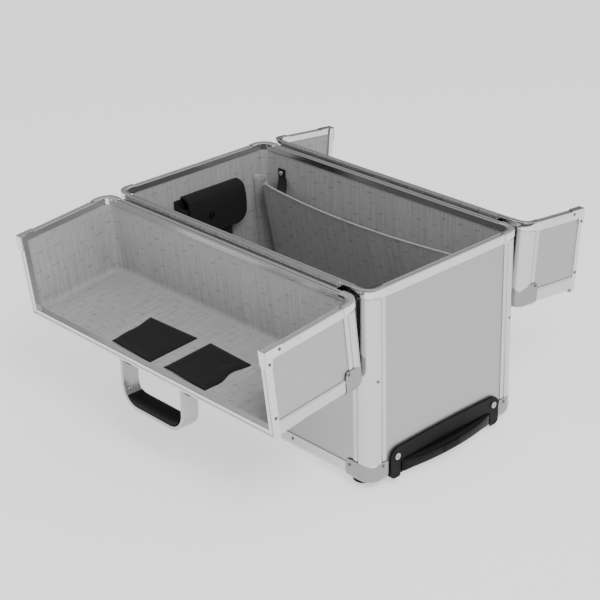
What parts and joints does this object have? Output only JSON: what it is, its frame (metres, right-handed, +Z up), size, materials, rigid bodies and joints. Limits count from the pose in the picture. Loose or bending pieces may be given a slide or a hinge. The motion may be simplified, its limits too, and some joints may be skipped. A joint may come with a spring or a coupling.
{
  "type": "rolling makeup train case",
  "caption": "Aluminium-framed rolling makeup case, open: deep lined box, two L-shaped lids hung beside it, carry and telescopic handles.",
  "frame": {"origin": "on the floor plane under the feet, midway between the body walls in X and in Y", "axes": "+X along the case towards the telescopic handle end, -Y towards the larger front lid, +Z up"},
  "size_m": [0.4832, 0.5471, 0.2668],
  "materials": {
    "panel": "smooth satin anodised sheet",
    "profile": "satin anodised extrusion",
    "chrome_fitting": "polished chrome plate",
    "rivet": "plain steel rivet heads",
    "hinge_steel": "bright rolled steel",
    "lining": "grey woven lining with small dark flecks",
    "black_cloth": "black woven nylon",
    "webbing": "black ribbed webbing",
    "black_plastic": "moulded black plastic",
    "gloss_black": "smooth black plastic",
    "rubber": "black rubber",
    "tyre": "hard black tread",
    "tube": "drawn aluminium tube",
    "board": "plywood"
  },
  "bodies": {
    "case_body": {"long_panels": "panel", "left_end_panel": "panel", "right_end_panel": "panel", "bottom_panel": "panel", "corner_posts": "profile", "body_rim": "profile", "bottom_profile": "profile", "base_ball_corners": "chrome_fitting", "body_rim_clips": "chrome_fitting", "body_rivets": "rivet", "feet": "rubber", "end_feet": "rubber", "body_lining": "lining", "false_floor": "board", "floor_bearers": "board", "handle_outer_tubes": "tube", "handle_base_plate": "black_plastic", "base_plate_screws": "hinge_steel", "wheel_housings": "black_plastic", "wheel_axles": "hinge_steel", "hinge_body_leaves": "hinge_steel", "hinge_pins": "hinge_steel", "pouch_body": "black_cloth", "divider_gussets": "lining", "divider_straps": "webbing"},
    "front_lid": {"front_lid_walls": "panel", "front_lid_top": "panel", "front_lid_posts": "profile", "front_lid_edging": "profile", "front_lid_rim": "profile", "front_lid_corners": "chrome_fitting", "front_lid_rivets": "rivet", "front_lid_lining": "lining", "front_lid_hinge": "hinge_steel", "front_pocket_left": "black_cloth", "front_pocket_right": "black_cloth", "handle_brackets": "black_plastic", "latch_keepers": "chrome_fitting"},
    "back_lid": {"back_lid_walls": "panel", "back_lid_top": "panel", "back_lid_posts": "profile", "back_lid_edging": "profile", "back_lid_rim": "profile", "back_lid_corners": "chrome_fitting", "back_lid_rivets": "rivet", "back_lid_lining": "lining", "back_lid_hinge": "hinge_steel", "latch_bases": "chrome_fitting"},
    "latch_lever_left": {"latch_lever_left": "chrome_fitting"},
    "latch_lever_right": {"latch_lever_right": "chrome_fitting"},
    "carry_handle": {"carry_handle": "tube", "carry_grip": "rubber"},
    "handle_middle": {"handle_middle_tubes": "tube"},
    "handle_upper": {"handle_inner_tubes": "tube", "telescopic_grip": "gloss_black"},
    "grip_button": {"grip_button": "black_plastic"},
    "front_wheel": {"front_wheel": "tyre"},
    "back_wheel": {"back_wheel": "tyre"},
    "divider": {"divider": "lining"},
    "pouch_flap": {"pouch_flap": "black_cloth"}
  },
  "joints": [
    {"name": "front_lid_hinge", "type": "hinge", "parent": "case_body", "child": "front_lid", "pos_m": [0, -0.137, 0.264], "axis": [-1, 0, 0], "range_deg": [0, 186]},
    {"name": "back_lid_hinge", "type": "hinge", "parent": "case_body", "child": "back_lid", "pos_m": [0, 0.137, 0.264], "axis": [1, 0, 0], "range_deg": [0, 186]},
    {"name": "carry_handle_swing", "type": "hinge", "parent": "front_lid", "child": "carry_handle", "pos_m": [0, -0.25618, 0.12558], "axis": [1, 0, 0], "range_deg": [-9, 78]},
    {"name": "latch_left_swing", "type": "hinge", "parent": "back_lid", "child": "latch_lever_left", "pos_m": [-0.15, 0.21517, 0.13713], "axis": [-1, 0, 0], "range_deg": [0, 100]},
    {"name": "latch_right_swing", "type": "hinge", "parent": "back_lid", "child": "latch_lever_right", "pos_m": [0.15, 0.21517, 0.13713], "axis": [-1, 0, 0], "range_deg": [0, 100]},
    {"name": "handle_middle_slide", "type": "slide", "parent": "case_body", "child": "handle_middle", "axis": [1, 0, 0], "range_m": [0, 0.32]},
    {"name": "handle_upper_slide", "type": "slide", "parent": "handle_middle", "child": "handle_upper", "axis": [1, 0, 0], "range_m": [0, 0.32]},
    {"name": "grip_button_press", "type": "slide", "parent": "handle_upper", "child": "grip_button", "axis": [-1, 0, 0], "range_m": [0, 0.003], "stiffness_N_per_m": 600},
    {"name": "front_wheel_spin", "type": "hinge", "parent": "case_body", "child": "front_wheel", "pos_m": [-0.218, -0.08, 0.023], "axis": [0, 1, 0], "continuous": true},
    {"name": "back_wheel_spin", "type": "hinge", "parent": "case_body", "child": "back_wheel", "pos_m": [-0.218, 0.08, 0.023], "axis": [0, 1, 0], "continuous": true},
    {"name": "divider_tilt", "type": "hinge", "parent": "case_body", "child": "divider", "pos_m": [0, 0.1165, 0.0364], "axis": [-1, 0, 0], "range_deg": [0, 8]},
    {"name": "pouch_flap_lift", "type": "hinge", "parent": "case_body", "child": "pouch_flap", "pos_m": [-0.2232, 0.019, 0.227], "axis": [0, -1, 0], "range_deg": [0, 90]}
  ]
}
